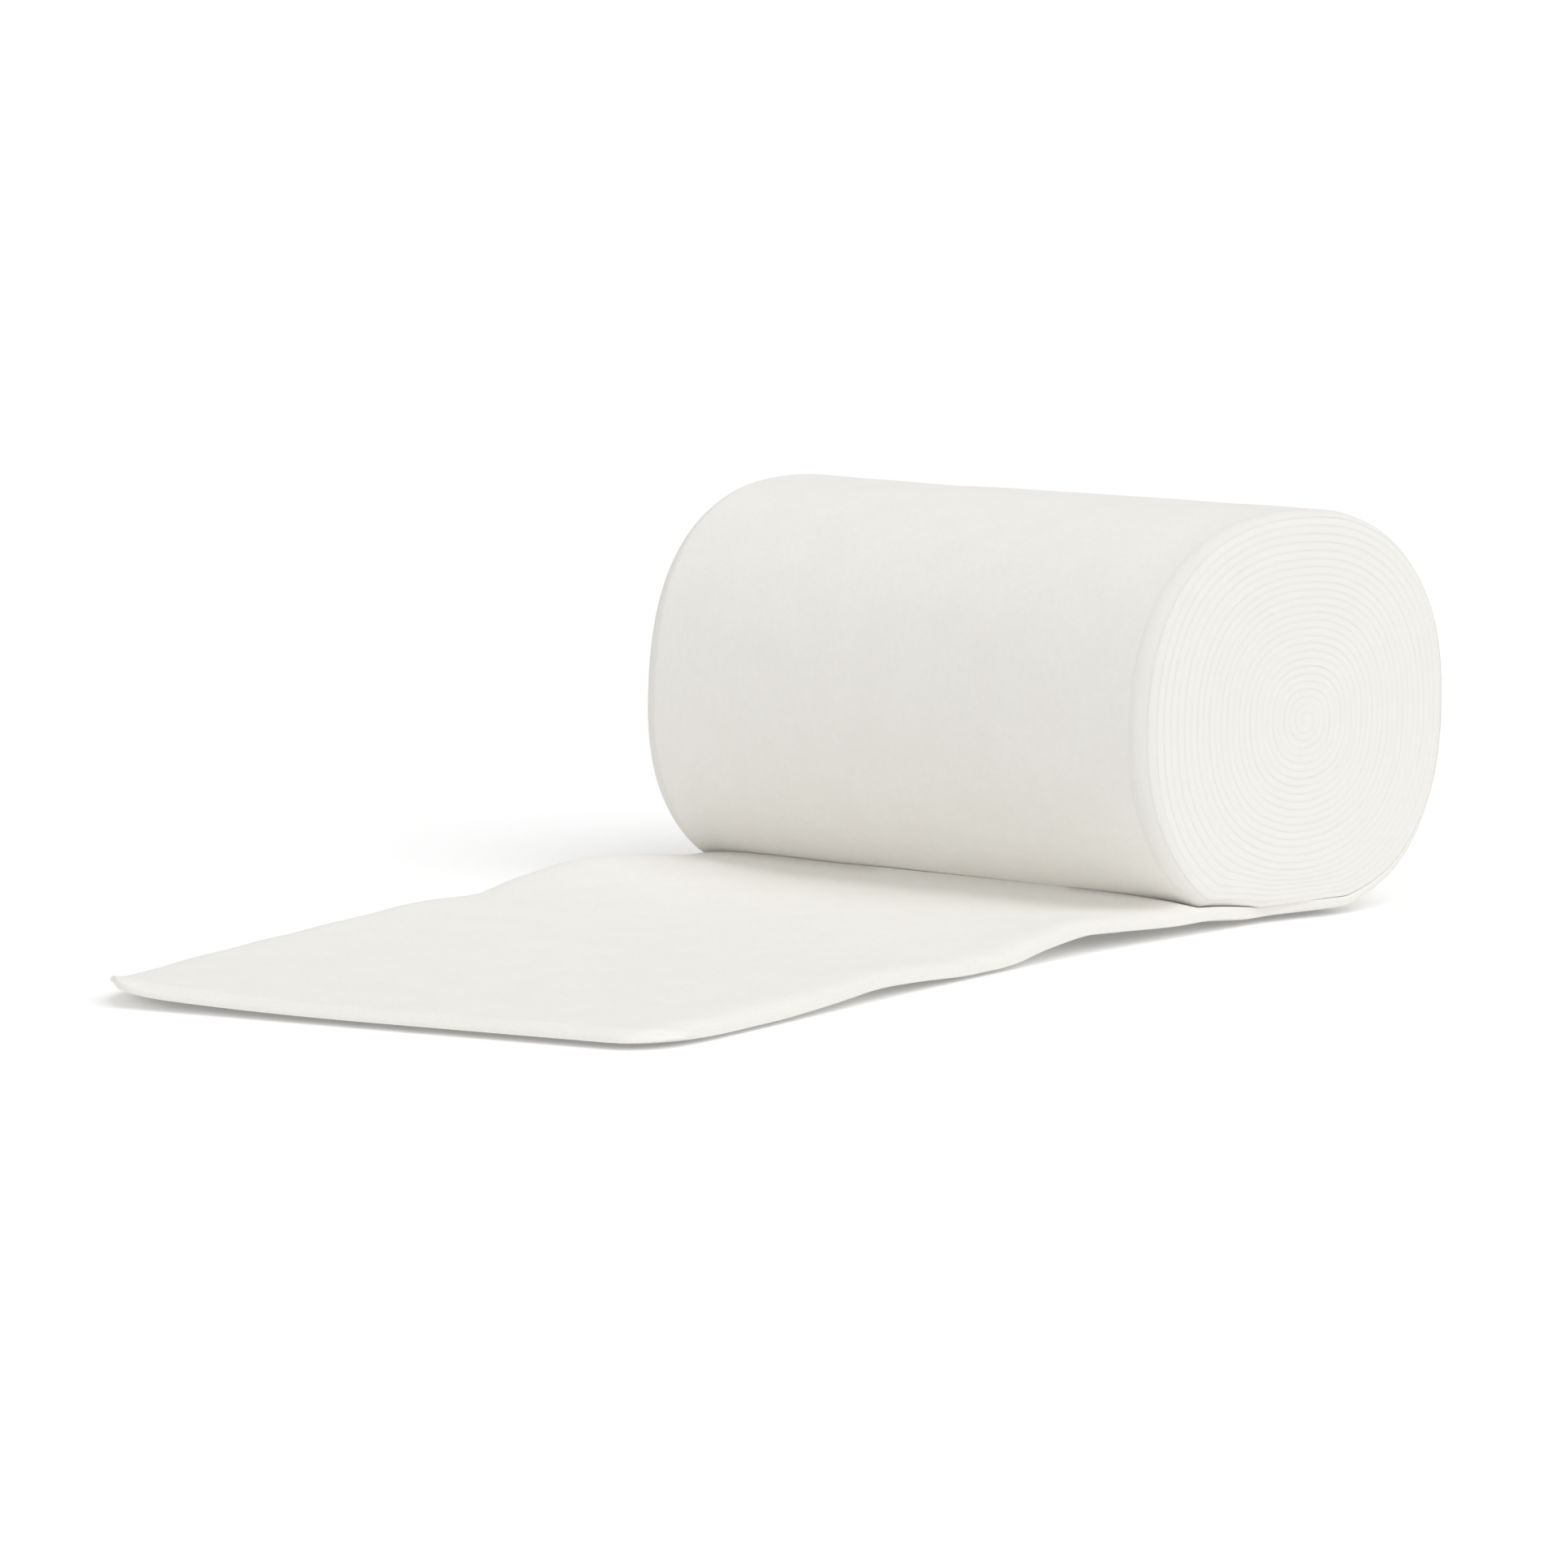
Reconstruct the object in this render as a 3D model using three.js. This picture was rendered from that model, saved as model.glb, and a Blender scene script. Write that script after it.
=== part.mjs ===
// Padding bandage: one strip of soft fibre padding, wound into a roll that lies on its side. The
// strip comes out from under the roll, and its end lies unrolled on the surface in front of it.
// The roll's axis runs along X, the loose end points to -Y and +Z is up. Millimetres.
import * as THREE from 'three';

// The strip
const STRIP_WIDTH = 100;
const SHEET = 2.8;               // thickness of the loose end
const CLEARANCE = 0.3;           // gap between the two solids

// The wound roll, a soft oval seen along its axis
const ROLL_HEIGHT = 61;
const ROLL_DEPTH = 65;
const ROLL_SAG = 1.3;            // how far its weight presses the underside flat
const ROLL_LEAN = 0.07;          // share of its height by which the top leans back
const UPPER_FULLNESS = 2.35;     // 2 draws an ellipse, more is squarer
const LOWER_FULLNESS = 2.2;
const STEP_Y = -10;              // where the strip leaves the roll, under its front

// The two ends of the roll: where each stands, how its plane tilts with Y and with Z, how far its
// middle bulges out, and how round its rim is at the front, back, top and bottom
const NEAR_END = { x: 50.7, tiltY: 0.135, tiltZ: -0.06, bulge: 1.2, front: 3, back: 3, top: 2.2, bottom: 1.5 };
const FAR_END = { x: -50.8, tiltY: 0, tiltZ: -0.02, bulge: -1.2, front: 3, back: 3, top: 1.5, bottom: 4 };

// The loose end's centre line: straight, then an arc through VEER, then straight again
const VEER = THREE.MathUtils.degToRad(7);
const VEER_FROM = 35;
const VEER_TO = 80;

// The cut end: its slant over the width, and the corner radii
const END_SLANT = 0.07;
const NEAR_CORNER = 8;
const FAR_CORNER = 6;

// How far the strip's underside is lifted off the surface at its near edge, middle and far edge,
// and how far the far edge is drawn in
const FOLDS = [
  { along: 0, near: 0, middle: 0, far: 0, drawn: 0 },
  { along: 9, near: 0.9, middle: 0.3, far: 0, drawn: 0.3 },
  { along: 18, near: 1.15, middle: 0.3, far: 1.7, drawn: 0.9 },
  { along: 30, near: 1.85, middle: 0.3, far: 3.35, drawn: 1.4 },
  { along: 41, near: 2.3, middle: 0.3, far: 3.8, drawn: 1.6 },
  { along: 52, near: 1.4, middle: 0.2, far: 2.5, drawn: 1.7 },
  { along: 62, near: 0.2, middle: 0.1, far: 1.1, drawn: 1.8 },
  { along: 75, near: 0, middle: 0, far: 1.5, drawn: 2.3 },
  { along: 90, near: 0.8, middle: 0.1, far: 1.45, drawn: 3 },
  { along: 100, near: 1.1, middle: 0.1, far: 1.3, drawn: 3.4 },
  { along: 110, near: 0.6, middle: 0, far: 1, drawn: 3.7 },
  { along: 125, near: 0, middle: 0, far: 0.6, drawn: 4 },
  { along: 140, near: 0, middle: 0, far: 0.4, drawn: 5 },
  { along: 151, near: 0, middle: 0, far: 0.6, drawn: 7.4 },
  { along: 159, near: 0, middle: 0, far: 1.3, drawn: 11 },
];
const LOOSE_LENGTH = FOLDS[FOLDS.length - 1].along;
const EDGE_FALLOFF = 2.2;        // how fast a lifted edge comes down towards the middle

// Mesh density
const TURN_STEPS = 84;
const SIDE_STEPS = 10;
const RIM_STEPS = 4;
const FACE_RINGS = 4;
const SHEET_STEPS = 44;
const SHEET_COLUMNS = 22;

const halfDepth = ROLL_DEPTH / 2;
const halfHeight = (ROLL_HEIGHT + ROLL_SAG) / 2;
const centreZ = halfHeight - ROLL_SAG;

function signedPower(value, power) {
  return Math.sign(value) * Math.abs(value) ** power;
}

// The roll's free outline at an angle about its axis, 0 at the back and a quarter turn at the top
function outline(angle) {
  const fullness = Math.sin(angle) > 0 ? UPPER_FULLNESS : LOWER_FULLNESS;
  const rise = halfHeight * signedPower(Math.sin(angle), 2 / fullness);
  const y = halfDepth * signedPower(Math.cos(angle), 2 / fullness) + ROLL_LEAN * rise;
  return { y, z: centreZ + rise };
}

// The angle at which the underside reaches the step
const stepShare = (STEP_Y + ROLL_LEAN * halfHeight) / halfDepth;
const stepAngle = -Math.acos(signedPower(stepShare, LOWER_FULLNESS / 2));

const foldsAlong = new THREE.CubicInterpolant(
  FOLDS.map((row) => row.along),
  FOLDS.flatMap((row) => [row.near, row.middle, row.far, row.drawn]),
  4,
);

// The height of the top of the loose end, where it is highest across its width
function stripTop(along) {
  const [near, middle, far] = foldsAlong.evaluate(THREE.MathUtils.clamp(along, 0, LOOSE_LENGTH));
  return SHEET + Math.max(near, middle, far);
}

// Columns of the roll run from the foot of the step, under the roll, up its back, over the top and
// down its front to the head of the step; the last column closes on the first. The roll lies on
// the surface behind the step and on its own strip in front of it.
function columnOutline(column) {
  const turn = (column % TURN_STEPS) / (TURN_STEPS - 1);
  const edge = outline(stepAngle + turn * 2 * Math.PI);
  const support = turn > 0.5 ? stripTop(STEP_Y - edge.y) + CLEARANCE : 0;
  return { y: edge.y, z: Math.max(edge.z, support) };
}

function rimRadius(end, edge) {
  const across = edge.y / halfDepth;
  const up = (edge.z - centreZ) / halfHeight;
  const side = across < 0 ? end.front : end.back;
  const crown = up > 0 ? end.top : end.bottom;
  return (side * across ** 2 + crown * up ** 2) / (across ** 2 + up ** 2);
}

// A point of one end. The radius is 0 on the axis, 1 where the rim starts and 2 where it has
// turned into the side.
function endPoint(end, radius, edge) {
  const rim = rimRadius(end, edge);
  const sweep = Math.max(0, radius - 1) * Math.PI / 2;
  const inset = rim * (1 - Math.sin(sweep));
  const share = Math.min(radius, 1) * (1 - inset / Math.hypot(edge.y, edge.z - centreZ));
  const y = edge.y * share;
  const rise = (edge.z - centreZ) * share;
  const drop = Math.sign(end.x) * rim * (1 - Math.cos(sweep));
  const x = end.x + end.tiltY * y + end.tiltZ * rise + end.bulge * (1 - share ** 2) - drop;
  return new THREE.Vector3(x, y, centreZ + rise);
}

// The profile of the roll from the middle of its far end, round both rims, to the middle of its
// near end. Each row says how to place its point on a column.
function rollProfile() {
  const rows = [];
  const radii = [];
  for (let ring = 0; ring <= FACE_RINGS; ring += 1) radii.push(ring / FACE_RINGS);
  for (let step = 1; step <= RIM_STEPS; step += 1) radii.push(1 + step / RIM_STEPS);
  for (const radius of radii) rows.push({ radius, blend: 0 });
  for (let step = 1; step < SIDE_STEPS; step += 1) rows.push({ radius: 2, blend: step / SIDE_STEPS });
  for (const radius of radii.reverse()) rows.push({ radius, blend: 1 });
  return rows;
}

// The roll is a lathed drum whose points are moved onto the soft outline, column by column.
function makeRoll() {
  const rows = rollProfile();
  const drum = rows.map(({ radius, blend }) => new THREE.Vector2(radius, blend));
  const geometry = new THREE.LatheGeometry(drum, TURN_STEPS);
  for (let column = 0; column <= TURN_STEPS; column += 1) {
    const edge = columnOutline(column);
    rows.forEach(({ radius, blend }, row) => {
      const point = endPoint(FAR_END, radius, edge).lerp(endPoint(NEAR_END, radius, edge), blend);
      geometry.attributes.position.setXYZ(column * rows.length + row, point.x, point.y, point.z);
    });
  }
  return geometry;
}

// The centre line of the loose end in plan, and its heading
function centreLine(along) {
  const radius = (VEER_TO - VEER_FROM) / VEER;
  const heading = THREE.MathUtils.clamp((along - VEER_FROM) / radius, 0, VEER);
  const before = Math.min(along, VEER_FROM);
  const after = Math.max(along - VEER_TO, 0);
  const x = radius * (1 - Math.cos(heading)) + after * Math.sin(heading);
  const y = -before - radius * Math.sin(heading) - after * Math.cos(heading);
  return { x, y: STEP_Y - CLEARANCE + y, heading };
}

// The length of the loose end at a place across it, with the slanted cut and its round corners
function cutLength(across) {
  const corner = across > 0 ? NEAR_CORNER : FAR_CORNER;
  const into = Math.max(0, Math.abs(across) - (STRIP_WIDTH / 2 - corner));
  return LOOSE_LENGTH - END_SLANT * across - corner + Math.sqrt(corner ** 2 - into ** 2);
}

// The loose end is a flat sheet whose points are moved onto its path and folds.
function makeLooseEnd() {
  const geometry = new THREE.BoxGeometry(STRIP_WIDTH, LOOSE_LENGTH, SHEET, SHEET_COLUMNS, SHEET_STEPS, 1);
  const points = geometry.attributes.position;
  for (let index = 0; index < points.count; index += 1) {
    const across = points.getX(index);
    const along = (0.5 - points.getY(index) / LOOSE_LENGTH) * cutLength(across);
    const [near, middle, far, drawn] = foldsAlong.evaluate(Math.min(along, LOOSE_LENGTH));
    const edge = across > 0 ? near : far;
    const share = Math.abs(2 * across / STRIP_WIDTH) ** EDGE_FALLOFF;
    const lift = Math.max(0, middle + (edge - middle) * share);
    const aside = across + drawn * (0.5 - across / STRIP_WIDTH);
    const centre = centreLine(along);
    const x = centre.x + aside * Math.cos(centre.heading);
    const y = centre.y + aside * Math.sin(centre.heading);
    points.setXYZ(index, x, y, lift + SHEET / 2 + points.getZ(index));
  }
  return geometry;
}

function makePiece(name, geometry, color) {
  const material = new THREE.MeshStandardMaterial({ color, roughness: 0.95, metalness: 0 });
  const mesh = new THREE.Mesh(geometry, material);
  mesh.name = name;
  return mesh;
}

const bandage = new THREE.Group();
bandage.add(makePiece('wound_roll', makeRoll(), '#efece4'));
bandage.add(makePiece('loose_end', makeLooseEnd(), '#f2efe8'));

// The origin is the middle of the whole bandage, on the surface it lies on.
const middle = new THREE.Box3().setFromObject(bandage).getCenter(new THREE.Vector3());
bandage.position.set(-middle.x, -middle.y, 0);

export default bandage;
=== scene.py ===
"""The looks of a padding bandage: one strip of soft fibre padding, wound up, with its end drawn out.

The strip is one long sheet. Its loose end lies on the surface, runs under the roll, and from there
it is wound inwards, turn upon turn, to the middle of the roll. Metres, +Z up, the roll's axis on X.
"""

import math

import bmesh
import bpy
from bpy.props import FloatProperty, FloatVectorProperty, PointerProperty
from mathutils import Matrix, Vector, noise


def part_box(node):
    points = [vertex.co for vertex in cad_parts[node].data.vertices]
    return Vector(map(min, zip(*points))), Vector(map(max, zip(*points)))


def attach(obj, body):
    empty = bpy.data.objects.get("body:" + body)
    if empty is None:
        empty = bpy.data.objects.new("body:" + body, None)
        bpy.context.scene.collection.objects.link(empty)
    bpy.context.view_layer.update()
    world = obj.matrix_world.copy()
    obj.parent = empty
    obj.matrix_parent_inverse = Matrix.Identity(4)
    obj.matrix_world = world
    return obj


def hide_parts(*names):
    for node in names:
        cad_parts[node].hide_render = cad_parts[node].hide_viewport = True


bl_info = {
    "name": "Padding bandage roll",
    "version": (1, 0, 0),
    "blender": (4, 5, 0),
    "location": "View3D > Sidebar > Bandage",
    "description": "Builds a wound padding bandage with a loose end, on a plain stage",
    "category": "Add Mesh",
}

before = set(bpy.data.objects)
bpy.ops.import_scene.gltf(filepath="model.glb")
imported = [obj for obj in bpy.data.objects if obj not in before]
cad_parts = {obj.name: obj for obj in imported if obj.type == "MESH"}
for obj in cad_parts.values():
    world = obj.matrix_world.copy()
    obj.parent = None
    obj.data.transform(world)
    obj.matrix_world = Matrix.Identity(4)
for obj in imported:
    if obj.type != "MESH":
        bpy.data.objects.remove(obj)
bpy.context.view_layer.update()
ROLL_LOW, ROLL_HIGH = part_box("wound_roll")
LOOSE_LOW, LOOSE_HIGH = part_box("loose_end")
MM = 0.001
CORNER_ANGLE = math.radians(65)     # edges that turn more than this look sharp

# The roll's outline, seen along its axis
HALF_DEPTH = 32.5 * MM
ROLL_SAG = 1.3 * MM                 # how far its weight presses the underside flat
HALF_HEIGHT = (ROLL_HIGH.z + ROLL_SAG) / 2
AXIS = Vector((0, (ROLL_LOW.y + ROLL_HIGH.y) / 2, HALF_HEIGHT - ROLL_SAG))
ROLL_LEAN = 0.07                    # share of its height by which the top leans back
UPPER_FULLNESS = 2.35               # 2 draws an ellipse, more is squarer
LOWER_FULLNESS = 2.2
CLEARANCE = 0.3 * MM                # gap between the frame's two solids
STEP_Y = LOOSE_HIGH.y + CLEARANCE - AXIS.y  # where the strip leaves the roll, from its axis
LEAN_ROUNDS = 4                     # rounds in which the leaning underside's height is found

# The two ends of the roll, measured from the middle of the strip: where each stands, how its plane
# tilts with Y and with Z, how far its middle bulges out, and how round its rim is at the front,
# back, top and bottom
NEAR_END = {
    "x": 50.7 * MM, "tilt_y": 0.135, "tilt_z": -0.06, "bulge": 1.2 * MM,
    "front": 3 * MM, "back": 3 * MM, "top": 2.2 * MM, "bottom": 1.5 * MM,
}
FAR_END = {
    "x": -50.8 * MM, "tilt_y": 0, "tilt_z": -0.02, "bulge": -1.2 * MM,
    "front": 3 * MM, "back": 3 * MM, "top": 1.5 * MM, "bottom": 4 * MM,
}

# The loose end's centre line: straight, then an arc through VEER, then straight again
VEER = math.radians(7)
VEER_FROM = 35 * MM
VEER_TO = 80 * MM
END_SLANT = 0.07                    # how much further the far side of the cut end reaches
NEAR_CORNER = {"size": 8 * MM, "fullness": 2}
FAR_CORNER = {"size": 5 * MM, "fullness": 1.2}
CURL = 1.8 * MM                     # how far the underside rises at the far corner, before
CURL_REACH = 13 * MM                # RISE_LIMIT holds it, and from how far around
CURL_TOP = 0.05                     # share of CURL by which the top rises
CURL_CRISP = 2                      # how fast the top's rounding fades towards that corner

# The section of the loose end
CREASE_FULL = 1.8 * MM              # most that its fibres rise to fill the crease under the roll
CREASE_OPEN = 5.5 * MM              # height of the crease at which they no longer rise
CREASE_GRIP = 1.15                  # share of a low crease that they fill: past 1, because the roll
                                    # lies a little above the height it is reckoned from
CREASE_EVEN = 8                     # how evenly they rise over the width
UNDERCUT = 0.7 * MM                 # how far the underside rises towards the long edges
WOUND_UNDERCUT = 1.1 * MM           # the same under the roll
END_UNDERCUT = 1.1 * MM             # the same towards the cut end
UNDERCUT_REACH = 9 * MM             # from how far inside
EDGE_DROP = 1.1 * MM                # how far the top comes down at the long edges
EDGE_REACH = 3.5 * MM               # from how far inside
RISE_LIMIT = 0.7                    # most of the thickness that the underside's rise may take
DROP_LIMIT = 0.7                    # and most of the rest that the rounding of the top may take
END_CLOSE = 0.4 * MM                # length over which its top and underside meet
END_FULLNESS = 4                    # 2 closes it on an ellipse, more is squarer
EDGE_STRAY = 0.3 * MM               # how far the long edges stray sideways
EDGE_STRAY_LENGTH = 17 * MM         # over what length

# Millimetres along the loose end, how far its underside is lifted at the near edge, middle and far
# edge, and how far the far edge is drawn in
FOLD_COLUMNS = ("along", "near", "middle", "far", "drawn")
FOLDS = (
    (0, 0, 0, 0, 0),
    (9, 0.9, 0.3, 0, 0.3),
    (18, 1.15, 0.3, 1.7, 0.9),
    (30, 1.85, 0.3, 3.35, 1.4),
    (41, 2.3, 0.3, 3.8, 1.6),
    (52, 1.4, 0.2, 2.5, 1.7),
    (62, 0.2, 0.1, 1.1, 1.8),
    (75, 0, 0, 1.5, 2.3),
    (90, 0.8, 0.1, 1.45, 3),
    (100, 1.1, 0.1, 1.3, 3.4),
    (110, 0.6, 0, 1, 3.7),
    (125, 0, 0, 0.6, 4),
    (140, 0, 0, 0.4, 5),
    (151, 0, 0, 0.6, 7.4),
    (159, 0, 0, 1.3, 11),
)
LOOSE_LENGTH = FOLDS[-1][0] * MM
EDGE_FALLOFF = 2.2                  # how fast a lifted edge comes down towards the middle
LOOSENED_FROM = 8 * MM              # the stretch over which the edges change as the strip leaves
LOOSENED_TO = 24 * MM               # the roll

# The soft swells: how long the broad and the fine ones are, the fine ones' share of the height, and
# the height on the roll and the length along the loose end over which all of them set in
BROAD_SWELL = 26 * MM
FINE_SWELL = 9 * MM
FINE_SHARE = 0.4
SWELL_HEIGHT = 12 * MM
SWELL_LENGTH = 20 * MM

# The winding
TAPER_TURN = 0.3                    # share of the first turn over which the sheet is pressed thin
STEP_TURN = 0.1                     # share of a turn over which the ends take in the step
BLEND_TURN = 0.06                   # share of it over which its edges come to the roll's ends
FLAT_TURNS = 8                      # turns over which the flat underside fades out
LIFT_HEIGHT = 6 * MM                # how high the lifted edge presses up the turns above it
WANDER = 0.02 * MM                  # how far a turn's edge strays from its neighbours'
WANDER_RATE = 5.3                   # how often it does so in a turn
WANDER_PLACES = (7.1, 0.4)          # where its noise is read: the ends of the roll lie apart
PROUD = 0.2 * MM                    # how far the first turn stands out at the near end
PROUD_TURN = 0.2                    # and over what share of the turn
GROOVE = 0.06 * MM                  # gap inside the first turn's edge
GROOVE_REACH = 3 * MM
TURN_EDGE = 0.02 * MM               # how far each turn's edge bulges
EDGE_SQUARENESS = 0.6               # 1 draws the bulge as a half ellipse, less is squarer
CORE_RADIUS = 0.9 * MM              # where the strip's inner end lies
CORE_GAP = 0.03 * MM                # what is left open on the axis
TURN_GAP = 0.006 * MM               # and between the turns

# Mesh density
OUTER_STEPS = 192                   # rows in the first turn
INNER_STEPS = 96
CORE_STEPS = 48
CORE_TURNS = 7
LOOSE_STEP = 1.6 * MM
END_STEPS = 9                       # rows over the rounding of the cut end
FACE_COLUMNS = 8
EDGE_COLUMNS = 4
OUTER_CUTS = 3                      # extra cuts between columns where the strip shows
OUTER_ROWS = 2                      # rows past the first turn that have them too
WELD = MM / 1000                    # points nearer than this become one

# The padding's patterns: scale, detail and distortion of the noise each is made of, then the ways
# the fibres run across the strip, and how fine they are across and along
CLOUDS = (130, 3, 0)
WEB = (900, 4, 0.6)
FIBRES = (1, 2, 0.8)
FIBRE_TURNS = (0.35, -0.5)
FIBRE_SCALE = (4200, 700, 1)
THIN, THICK = 0.14, 0.36            # clouds times web where the colour is deepest and lightest

# The stage. An azimuth of 0 is in front of the roll, where the loose end lies, and 90 is at its
# near end. Degrees and metres; the camera aims past the middle of the roll.
KEY_AZIMUTH, KEY_ELEVATION, KEY_SPREAD = 86, 56, 58
CAMERA_AZIMUTH, CAMERA_ELEVATION = 39.739, 6.962
CAMERA_DISTANCE = 1.1619
CAMERA_AIM = Vector((-31.7, -22.7, -14.4)) * MM
FLOOR_REACH = 20


class BandageSettings(bpy.types.PropertyGroup):
    """What a user would change on the bandage."""

    width: FloatProperty(
        name="Strip width", description="Width of the strip of padding",
        default=100 * MM, min=20 * MM, unit="LENGTH",
    )
    sheet: FloatProperty(
        name="Loose thickness", description="Thickness of the padding where nothing presses on it",
        default=2.8 * MM, min=0.5 * MM, unit="LENGTH",
    )
    pitch: FloatProperty(
        name="Wound pitch", description="Thickness of each turn, pressed between its neighbours",
        default=1.15 * MM, min=0.5 * MM, unit="LENGTH",
    )
    unevenness: FloatProperty(
        name="Unevenness", description="Height of the soft swells on the strip",
        default=0.25 * MM, min=0, unit="LENGTH",
    )
    edge_round: FloatProperty(
        name="Edge rounding", description="How far the loose strip's long edges bulge",
        default=0.15 * MM, min=0.05 * MM, unit="LENGTH",
    )
    end_round: FloatProperty(
        name="End rounding", description="How round the top of the cut end is",
        default=2.2 * MM, min=0.5 * MM, unit="LENGTH",
    )
    light_colour: FloatVectorProperty(
        name="Padding", description="Colour of the padding",
        default=(0.937, 0.922, 0.88), min=0, max=1, subtype="COLOR",
    )
    deep_colour: FloatVectorProperty(
        name="Thin places", description="Colour where the fibres lie thin",
        default=(0.917, 0.9, 0.852), min=0, max=1, subtype="COLOR",
    )


class StageSettings(bpy.types.PropertyGroup):
    """What a user would change on the stage."""

    key: FloatProperty(
        name="Key light", description="Strength of the soft light from the right",
        default=1.25, min=0,
    )
    sky: FloatProperty(
        name="Surroundings", description="Strength of the white surroundings",
        default=0.6, min=0,
    )
    glow: FloatProperty(
        name="Table glow", description="How much the table top shines by itself",
        default=0.1, min=0,
    )
    lens: FloatProperty(
        name="Lens", description="Focal length of the camera, in millimetres",
        default=173.8, min=20,
    )


def clamp(value, low=0.0, high=1.0):
    return max(low, min(high, value))


def smooth(share):
    share = clamp(share)
    return share * share * (3 - 2 * share)


def mix(first, second, share):
    return first + (second - first) * share


def signed_power(value, power):
    return math.copysign(abs(value) ** power, value)


def folds_at(along):
    """The lifts of FOLDS, in metres, at a length along the loose end, on a smooth curve."""
    place = clamp(along / MM, FOLDS[0][0], FOLDS[-1][0])
    last = len(FOLDS) - 1
    index = max(i for i in range(last) if FOLDS[i][0] <= place)
    before, start = FOLDS[max(index - 1, 0)], FOLDS[index]
    end, after = FOLDS[index + 1], FOLDS[min(index + 2, last)]
    span = end[0] - start[0]
    t = (place - start[0]) / span
    lifts = []
    for column in range(1, len(FOLD_COLUMNS)):
        slope_in = span * (end[column] - before[column]) / (end[0] - before[0])
        slope_out = span * (after[column] - start[column]) / (after[0] - start[0])
        value = (2 * t**3 - 3 * t**2 + 1) * start[column] + (3 * t**2 - 2 * t**3) * end[column]
        value += (t**3 - 2 * t**2 + t) * slope_in + (t**3 - t**2) * slope_out
        lifts.append(value * MM)
    return lifts


def centre_line(along):
    """The middle of the loose end in plan, and its heading."""
    radius = (VEER_TO - VEER_FROM) / VEER
    heading = clamp((along - VEER_FROM) / radius, 0, VEER)
    after = max(along - VEER_TO, 0)
    x = radius * (1 - math.cos(heading)) + after * math.sin(heading)
    y = min(along, VEER_FROM) + radius * math.sin(heading) + after * math.cos(heading)
    return Vector((x, LOOSE_HIGH.y - y, 0)), heading


def cut_length(across, width):
    """The length of the loose end at a place across it, with its slanted cut and round corners."""
    corner = NEAR_CORNER if across > 0 else FAR_CORNER
    size, fullness = corner["size"], corner["fullness"]
    into = clamp((abs(across) - width / 2) / size + 1)
    return LOOSE_LENGTH - END_SLANT * across - size * (1 - (1 - into**fullness) ** (1 / fullness))


def towards(distance, reach):
    """A share that grows from 0 at its reach inside an edge to 1 at the edge."""
    return clamp(1 - distance / reach) ** 2


def limited(value, limit):
    """The value, held softly under a limit."""
    return limit * math.tanh(value / limit)


def arc_drop(distance, radius):
    """How far a rounded edge has dropped at a distance inside it."""
    into = clamp(1 - distance / radius)
    return radius * (1 - math.sqrt(1 - into**2))


def outline(place):
    """A point of the roll's free outline as (Y, Z) from its axis. Place goes from 0 at the step,
    under the roll, up its back, over the top and down its front to 1 at the step again."""
    angle = STEP_ANGLE + place * 2 * math.pi
    fullness = UPPER_FULLNESS if math.sin(angle) > 0 else LOWER_FULLNESS
    rise = HALF_HEIGHT * signed_power(math.sin(angle), 2 / fullness)
    return HALF_DEPTH * signed_power(math.cos(angle), 2 / fullness) + ROLL_LEAN * rise, rise


def underside(y):
    """The height of the roll's free underside at a place before or behind its axis."""
    rise = -HALF_HEIGHT
    for _ in range(LEAN_ROUNDS):
        share = clamp(abs(ROLL_LEAN * rise - y) / HALF_DEPTH)
        rise = -HALF_HEIGHT * (1 - share**LOWER_FULLNESS) ** (1 / LOWER_FULLNESS)
    return AXIS.z + rise


STEP_SHARE = (STEP_Y + ROLL_LEAN * HALF_HEIGHT) / HALF_DEPTH
STEP_ANGLE = -math.acos(signed_power(STEP_SHARE, LOWER_FULLNESS / 2))


def end_x(end, y, rise, inset, share):
    """Where an end of the roll stands at a point that lies inset from the roll's outline."""
    across, up = y / HALF_DEPTH, rise / HALF_HEIGHT
    side = end["front"] if across < 0 else end["back"]
    crown = end["top"] if up > 0 else end["bottom"]
    rim = (side * across**2 + crown * up**2) / (across**2 + up**2)
    into = clamp(1 - inset / rim)
    drop = math.copysign(rim * (1 - math.sqrt(1 - into**2)), end["x"])
    return end["x"] + end["tilt_y"] * y + end["tilt_z"] * rise + end["bulge"] * (1 - share**2) - drop


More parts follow.
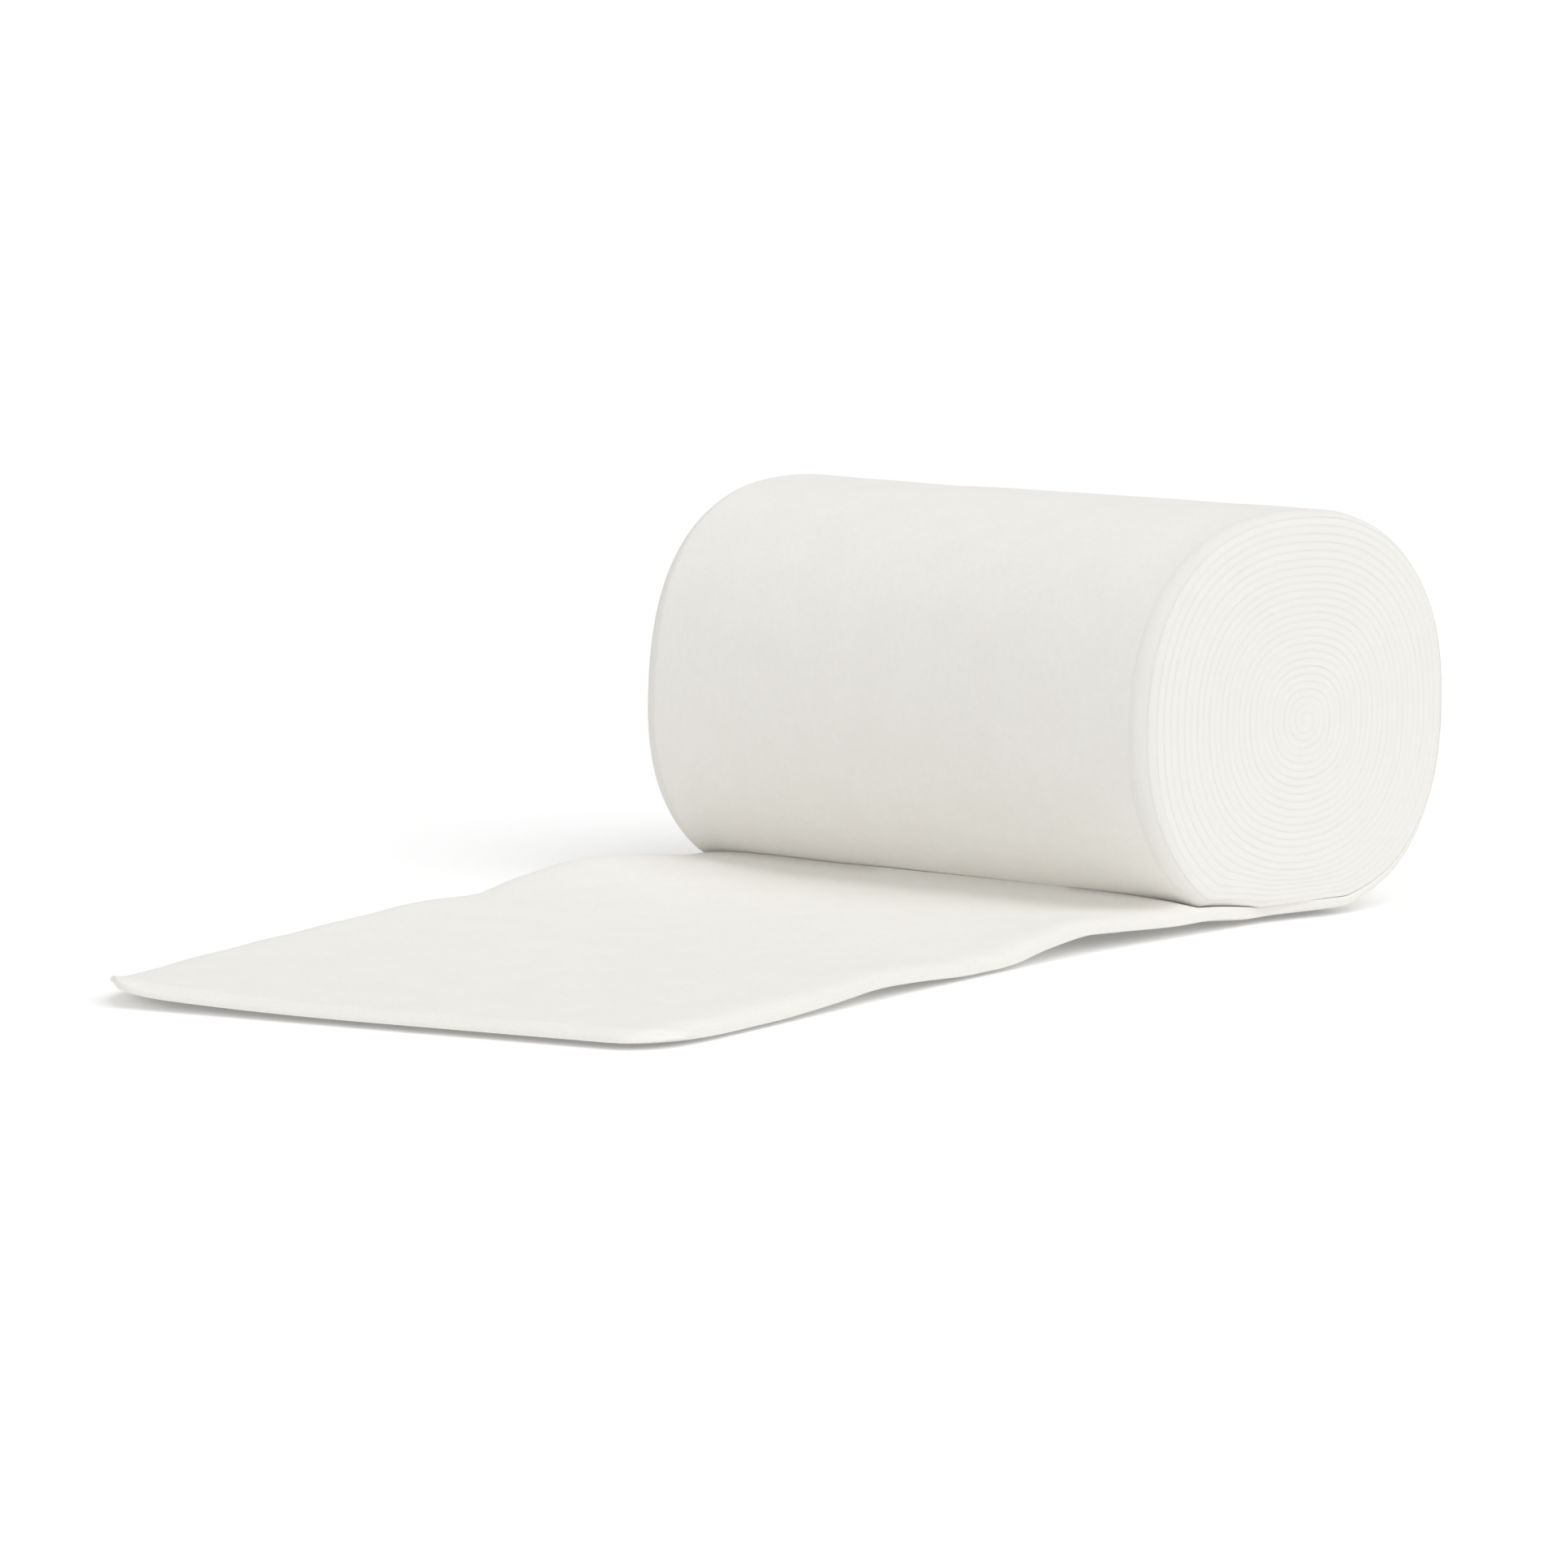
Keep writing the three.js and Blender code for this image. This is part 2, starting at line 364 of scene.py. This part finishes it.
class Strip:
    """The whole strip. A place on it is a row along it, a side across it from -1 to 1, a level
    through it from 1 on the outer face to -1 on the inner one, and how far its edge bulges."""

    def __init__(self, settings):
        self.settings = settings
        self.middle_x = LOOSE_LOW.x + settings.width / 2
        self.mean = math.sqrt(HALF_DEPTH * HALF_HEIGHT)
        self.turns = (self.mean - CORE_RADIUS) / settings.pitch
        self.step = self.reach(0) - self.reach(1)

    def pressed_outline(self, place):
        """The outline pressed flat where it rests: its front on the strip, its back on the table."""
        y, rise = outline(place)
        support = 0
        if place > 0.5:
            support = self.settings.sheet + max(folds_at(STEP_Y - y)[:3])
        return y, max(rise, support - AXIS.z)

    def reach(self, place):
        """How far the pressed outline is from the axis."""
        return math.hypot(*self.pressed_outline(place))

    def shrunk(self, turns):
        return 1 - turns * self.settings.pitch / self.mean

    def face_radius(self, turns):
        """How far a turn's outer face is from the axis. Inside the first turn, each starts where
        the one before it lies on the step, and the dent of the flat underside fades out."""
        place = turns % 1
        if turns < 1:
            return self.reach(place)
        free = math.hypot(*outline(place))
        dent = self.reach(place) - free * self.shrunk(place)
        last = self.reach(1) - math.hypot(*outline(1)) * self.shrunk(1)
        first = self.reach(0) - math.hypot(*outline(0))
        dent += (last - first) * (1 - smooth(place / TAPER_TURN))
        return free * self.shrunk(turns) + dent * (1 - smooth((turns - 1) / FLAT_TURNS))

    def layer(self, turns):
        """How far a turn's outer and inner faces are from the axis."""
        outer = self.face_radius(turns)
        inner = self.face_radius(turns + 1) + TURN_GAP if turns + 1 < self.turns else CORE_GAP
        return max(outer, 2 * CORE_GAP), max(inner, CORE_GAP)

    def wound_point(self, turns, side, level, bulge):
        place = turns % 1
        outer, inner = self.layer(turns)
        radius = mix(inner, outer, (1 + level) / 2)
        reach = self.reach(place)
        share = radius / reach
        y, rise = (value * share for value in self.pressed_outline(place))
        inset = reach - radius
        if turns >= 1:
            inset -= self.step * (1 - smooth(place / STEP_TURN))
        ends = []
        for end, sign in ((FAR_END, -1), (NEAR_END, 1)):
            x = end_x(end, y, rise, inset, share)
            spot = Vector((turns * WANDER_RATE, sign * WANDER_PLACES[0], WANDER_PLACES[1]))
            stray = noise.noise(spot) * WANDER
            ends.append(x + sign * (stray + TURN_EDGE * bulge))
        proud = 1 - smooth(turns / PROUD_TURN - 1)
        ends[1] += PROUD * proud
        ease = smooth(turns / BLEND_TURN)
        loose = self.half_width(bulge)
        low, high = mix(-loose, ends[0], ease), mix(loose, ends[1], ease)
        x = mix(low, high, (side + 1) / 2)
        swell = self.swell(Vector((x, y, rise)) / share)
        swell *= smooth((AXIS.z + rise) / SWELL_HEIGHT)
        groove = GROOVE * proud * ease * (1 - level) / 2 * clamp(1 - (high - x) / GROOVE_REACH)
        y, rise = (value * (1 + (swell + groove) / reach) for value in (y, rise))
        pressed = LIFT_HEIGHT if place < 0.5 else self.settings.sheet
        pressed = mix(self.settings.sheet, pressed, smooth(place / BLEND_TURN / 2))
        lift = WOUND_UNDERCUT * towards(min(high - x, x - low), UNDERCUT_REACH)
        lift *= clamp(1 - (AXIS.z + rise) / pressed)
        return Vector((self.middle_x + x, AXIS.y + y, AXIS.z + rise + lift))

    def half_width(self, bulge):
        return self.settings.width / 2 - self.settings.edge_round * (1 - bulge)

    def swell(self, point):
        """The soft swells of the padding."""
        broad, fine = noise.noise(point / BROAD_SWELL), noise.noise(point / FINE_SWELL)
        return self.settings.unevenness * (broad + FINE_SHARE * fine)

    def loose_point(self, along, side, level, bulge):
        width = self.settings.width
        across = side * self.half_width(bulge)
        length = cut_length(across, width)
        here = along / LOOSE_LENGTH * length
        near, middle, far, drawn = folds_at(here)
        share = abs(2 * across / width) ** EDGE_FALLOFF
        lift = max(0, mix(middle, near if across > 0 else far, share))
        corner = math.hypot(width / 2 + across, LOOSE_LENGTH + END_SLANT * width / 2 - here)
        tip = towards(corner, CURL_REACH)
        aside = across + drawn * (0.5 - across / width)
        aside += EDGE_STRAY * noise.noise(Vector((here / EDGE_STRAY_LENGTH, side, 0))) * share
        centre, heading = centre_line(here)
        x = self.middle_x + centre.x + aside * math.cos(heading)
        y = centre.y + aside * math.sin(heading)
        from_end = length - here
        top = self.settings.sheet + self.swell(Vector((x, y, 0))) * smooth(here / SWELL_LENGTH)
        top += tip * CURL * CURL_TOP
        wedge = max(underside(STEP_Y - here) - lift - top, 0)
        fibres = CREASE_FULL * clamp((CREASE_OPEN - wedge) / (CREASE_OPEN - CREASE_FULL)) ** 2
        top += min(wedge * CREASE_GRIP, fibres) * (1 - abs(2 * across / width) ** CREASE_EVEN)
        inside = self.half_width(bulge) - abs(across)
        loose = smooth((here - LOOSENED_FROM) / (LOOSENED_TO - LOOSENED_FROM))
        under = tip * CURL + END_UNDERCUT * towards(from_end, UNDERCUT_REACH)
        under += mix(WOUND_UNDERCUT, UNDERCUT, loose) * towards(inside, UNDERCUT_REACH)
        under = limited(under, RISE_LIMIT * self.settings.sheet)
        drop = EDGE_DROP * towards(inside, EDGE_REACH) * loose
        drop += arc_drop(from_end, self.settings.end_round)
        top -= limited(drop * max(0, 1 - CURL_CRISP * tip), DROP_LIMIT * (top - under))
        level *= (1 - clamp(1 - from_end / END_CLOSE) ** END_FULLNESS) ** (1 / END_FULLNESS)
        return Vector((x, y, lift + mix(top, under, (1 + level) / 2)))

    def point(self, row, side, level, bulge):
        if row < 0:
            return self.loose_point(-row, side, level, bulge)
        return self.wound_point(row, side, level, bulge)

    def length_at(self, row):
        """The length of the strip from the step to a row, about as the tape measure has it."""
        if row < 0:
            return row
        return 2 * math.pi * (self.mean * row - self.settings.pitch * row**2 / 2)

    def rows(self):
        """The rows of the mesh: minus the length along the loose end, or turns of the winding."""
        finish = self.settings.end_round
        rows = []
        for step in range(END_STEPS):
            rows.append(finish * (1 - math.cos(step / END_STEPS * math.pi / 2)) - LOOSE_LENGTH)
        count = round((LOOSE_LENGTH - finish) / LOOSE_STEP)
        rows += [-(LOOSE_LENGTH - finish) * (1 - step / count) for step in range(count)]
        turns, core = 0, self.turns - CORE_TURNS
        while turns < self.turns:
            rows.append(turns)
            steps = OUTER_STEPS if turns < 1 else INNER_STEPS if turns < core else CORE_STEPS
            turns = (round(turns * steps) + 1) / steps
        return rows


def section(index):
    """A column of the mesh round the strip's section: side, level and bulge."""
    part = index / FACE_COLUMNS
    if part <= 1:
        return ease_across(2 * part - 1), 1, 0
    index -= FACE_COLUMNS
    if index <= EDGE_COLUMNS:
        return 1, *edge_arc(index / EDGE_COLUMNS)
    index -= EDGE_COLUMNS
    if index <= FACE_COLUMNS:
        return ease_across(1 - 2 * index / FACE_COLUMNS), -1, 0
    index -= FACE_COLUMNS
    level, bulge = edge_arc(index / EDGE_COLUMNS)
    return -1, -level, bulge


def ease_across(share):
    """Columns lie closer together towards the edges."""
    return 1.5 * share - 0.5 * share**3


def edge_arc(share):
    angle = share * math.pi
    return (
        signed_power(math.cos(angle), EDGE_SQUARENESS),
        abs(math.sin(angle)) ** EDGE_SQUARENESS,
    )


def mesh_object(name, mesh_maker, material):
    """A new object in the scene, at the origin, from a bmesh."""
    mesh = bpy.data.meshes.new(name)
    mesh_maker.to_mesh(mesh)
    mesh_maker.free()
    mesh.materials.append(material)
    mesh.polygons.foreach_set("use_smooth", [True] * len(mesh.polygons))
    mesh.set_sharp_from_angle(angle=CORNER_ANGLE)
    made = bpy.data.objects.new(name, mesh)
    bpy.context.scene.collection.objects.link(made)
    return made


def build_strip(settings):
    """The strip starts as a flat grid, rows along X and the closed section along Y, and each of
    its points is then moved to its place. The section's first and last columns are merged."""
    strip = Strip(settings)
    rows = strip.rows()
    columns = 2 * (FACE_COLUMNS + EDGE_COLUMNS)
    mesh = bmesh.new()
    bmesh.ops.create_grid(mesh, x_segments=len(rows) - 1, y_segments=columns, size=0.5)
    shown = rows.index(1) + OUTER_ROWS
    fine = []
    for edge in mesh.edges:
        places = [round((v.co.x + 0.5) * (len(rows) - 1)) for v in edge.verts]
        if places[0] == places[1] and places[0] <= shown:
            fine.append(edge)
    bmesh.ops.subdivide_edges(mesh, edges=fine, cuts=OUTER_CUTS, use_grid_fill=True)
    pattern = mesh.loops.layers.uv.new("strip")
    cut = mesh.verts.layers.float.new("cut_edge")
    for vert in mesh.verts:
        row = rows[round((vert.co.x + 0.5) * (len(rows) - 1))]
        side, level, bulge = section((vert.co.y + 0.5) * columns)
        across = side * settings.width / 2 + level * settings.sheet / 2 * bulge
        for loop in vert.link_loops:
            loop[pattern].uv = (across + level, strip.length_at(row))
        vert[cut] = bulge
        vert.co = strip.point(row, side, level, bulge)
    bmesh.ops.remove_doubles(mesh, verts=mesh.verts, dist=WELD)
    bmesh.ops.holes_fill(mesh, edges=[edge for edge in mesh.edges if edge.is_boundary])
    bmesh.ops.recalc_face_normals(mesh, faces=mesh.faces)
    return mesh, strip


def new_nodes(owner):
    """The emptied node tree of a material or world, and its output."""
    owner.use_nodes = True
    tree = owner.node_tree
    tree.nodes.clear()
    kind = "World" if isinstance(owner, bpy.types.World) else "Material"
    return tree, tree.nodes.new("ShaderNodeOutput" + kind)


def add_node(tree, kind, inputs=(), **values):
    """A node with its settings, and its inputs linked or set."""
    node = tree.nodes.new(kind)
    for name, value in values.items():
        setattr(node, name, value)
    for name, value in dict(inputs).items():
        if isinstance(value, bpy.types.NodeSocket):
            tree.links.new(value, node.inputs[name])
        else:
            node.inputs[name].default_value = value
    return node


def padding_material(settings):
    """Soft matt fibre web: cloudy where it lies thick and thin, with fibres running both ways."""
    material = bpy.data.materials.new("padding")
    tree, output = new_nodes(material)
    place = add_node(tree, "ShaderNodeUVMap", uv_map="strip").outputs["UV"]
    clouds = noise_node(tree, place, *CLOUDS)
    web = noise_node(tree, place, *WEB)
    height = add_node(tree, "ShaderNodeMath", {0: clouds, 1: web}, operation="ADD").outputs[0]
    for turn in FIBRE_TURNS:
        way = add_node(
            tree, "ShaderNodeMapping",
            {"Vector": place, "Rotation": (0, 0, turn), "Scale": FIBRE_SCALE},
        ).outputs["Vector"]
        fibres = noise_node(tree, way, *FIBRES)
        height = add_node(tree, "ShaderNodeMath", {0: fibres, 1: height}, operation="ADD").outputs[0]
    thick = add_node(tree, "ShaderNodeMath", {0: clouds, 1: web}, operation="MULTIPLY").outputs[0]
    spread = add_node(
        tree, "ShaderNodeMapRange", {"Value": thick, "From Min": THIN, "From Max": THICK}
    ).outputs["Result"]
    colour = add_node(
        tree, "ShaderNodeMix",
        {0: spread, 6: (*settings.deep_colour, 1), 7: (*settings.light_colour, 1)},
        data_type="RGBA",
    ).outputs[2]
    bump = add_node(
        tree, "ShaderNodeBump", {"Strength": 0.35, "Distance": 0.12 * MM, "Height": height}
    ).outputs["Normal"]
    shader = add_node(
        tree, "ShaderNodeBsdfPrincipled",
        {
            "Base Color": colour, "Roughness": 0.95, "Specular IOR Level": 0.2, "Normal": bump,
            "Subsurface Weight": 0.15, "Subsurface Radius": (1, 0.9, 0.75),
            "Subsurface Scale": 0.8 * MM, "Sheen Weight": 0.12, "Sheen Roughness": 0.6,
        },
    ).outputs["BSDF"]
    tree.links.new(shader, output.inputs["Surface"])
    return material


def noise_node(tree, place, scale, detail, distortion):
    """A noise pattern over the strip, from 0 to 1."""
    return add_node(
        tree, "ShaderNodeTexNoise",
        {"Vector": place, "Scale": scale, "Detail": detail, "Distortion": distortion},
    ).outputs["Fac"]


class BANDAGE_OT_strip(bpy.types.Operator):
    """Build the whole strip: the loose end, and the turns that the roll is wound of."""

    bl_idname = "bandage.strip"
    bl_label = "Wound strip"

    def execute(self, context):
        settings = context.scene.bandage
        mesh, strip = build_strip(settings)
        if any(not edge.is_manifold for edge in mesh.edges):
            raise RuntimeError("the strip isn't closed")
        piece = mesh_object("wound_strip", mesh, padding_material(settings))
        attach(piece, "root")
        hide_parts("wound_roll", "loose_end")
        length = LOOSE_LENGTH + strip.length_at(strip.turns)
        print(f"strip: {length:.2f} m, {strip.turns:.1f} turns, {len(piece.data.polygons)} faces")
        return {"FINISHED"}


def floor_material(settings):
    material = bpy.data.materials.new("table_top")
    tree, output = new_nodes(material)
    shader = add_node(
        tree, "ShaderNodeBsdfPrincipled",
        {
            "Base Color": (1, 1, 1, 1), "Roughness": 0.9, "Specular IOR Level": 0.1,
            "Emission Color": (1, 1, 1, 1), "Emission Strength": settings.glow,
        },
    ).outputs["BSDF"]
    tree.links.new(shader, output.inputs["Surface"])
    return material


def add_sun(name, azimuth, elevation, spread, strength):
    """A soft light from a direction: azimuth 0 is the front and 90 the near end's side."""
    light = bpy.data.lights.new(name, "SUN")
    light.energy = strength
    light.angle = math.radians(spread)
    lamp = bpy.data.objects.new(name, light)
    lamp.rotation_euler = direction(azimuth, elevation).to_track_quat("Z", "Y").to_euler()
    bpy.context.scene.collection.objects.link(lamp)


def direction(azimuth, elevation):
    azimuth, elevation = math.radians(azimuth), math.radians(elevation)
    level = math.cos(elevation)
    return Vector((math.sin(azimuth) * level, -math.cos(azimuth) * level, math.sin(elevation)))


class BANDAGE_OT_stage(bpy.types.Operator):
    """Build the table top, the lights, the surroundings and the camera."""

    bl_idname = "bandage.stage"
    bl_label = "Stage"

    def execute(self, context):
        scene = context.scene
        settings = scene.bandage_stage
        mesh = bmesh.new()
        bmesh.ops.create_grid(mesh, x_segments=1, y_segments=1, size=FLOOR_REACH)
        mesh_object("table_top", mesh, floor_material(settings))
        add_sun("key_light", KEY_AZIMUTH, KEY_ELEVATION, KEY_SPREAD, settings.key)
        scene.world = bpy.data.worlds.new("surroundings")
        tree, output = new_nodes(scene.world)
        sky = add_node(
            tree, "ShaderNodeBackground", {"Color": (1, 1, 1, 1), "Strength": settings.sky}
        ).outputs["Background"]
        tree.links.new(sky, output.inputs["Surface"])
        scene.view_settings.view_transform = "Standard"
        scene.view_settings.look = "None"
        camera = bpy.data.objects.new("camera", bpy.data.cameras.new("camera"))
        camera.data.lens = settings.lens
        back = direction(CAMERA_AZIMUTH, CAMERA_ELEVATION)
        aim = (ROLL_LOW + ROLL_HIGH) / 2 + CAMERA_AIM
        camera.location = aim + back * CAMERA_DISTANCE
        camera.rotation_euler = back.to_track_quat("Z", "Y").to_euler()
        scene.collection.objects.link(camera)
        scene.camera = camera
        return {"FINISHED"}


class BANDAGE_PT_panel(bpy.types.Panel):
    """Lists the bandage's pieces and its settings."""

    bl_idname = "BANDAGE_PT_panel"
    bl_label = "Padding bandage roll"
    bl_space_type = "VIEW_3D"
    bl_region_type = "UI"
    bl_category = "Bandage"

    def draw(self, context):
        for operator in OPERATORS:
            self.layout.operator(operator.bl_idname)
        for settings in (context.scene.bandage, context.scene.bandage_stage):
            box = self.layout.box()
            for name in settings.__annotations__:
                box.prop(settings, name)


OPERATORS = (BANDAGE_OT_strip, BANDAGE_OT_stage)
CLASSES = (BandageSettings, StageSettings, *OPERATORS, BANDAGE_PT_panel)


def register():
    for made in CLASSES:
        bpy.utils.register_class(made)
    bpy.types.Scene.bandage = PointerProperty(type=BandageSettings)
    bpy.types.Scene.bandage_stage = PointerProperty(type=StageSettings)


def unregister():
    del bpy.types.Scene.bandage_stage
    del bpy.types.Scene.bandage
    for made in reversed(CLASSES):
        bpy.utils.unregister_class(made)


def main():
    register()
    bpy.ops.bandage.strip()
    bpy.ops.bandage.stage()


if __name__ == "__main__":
    main()
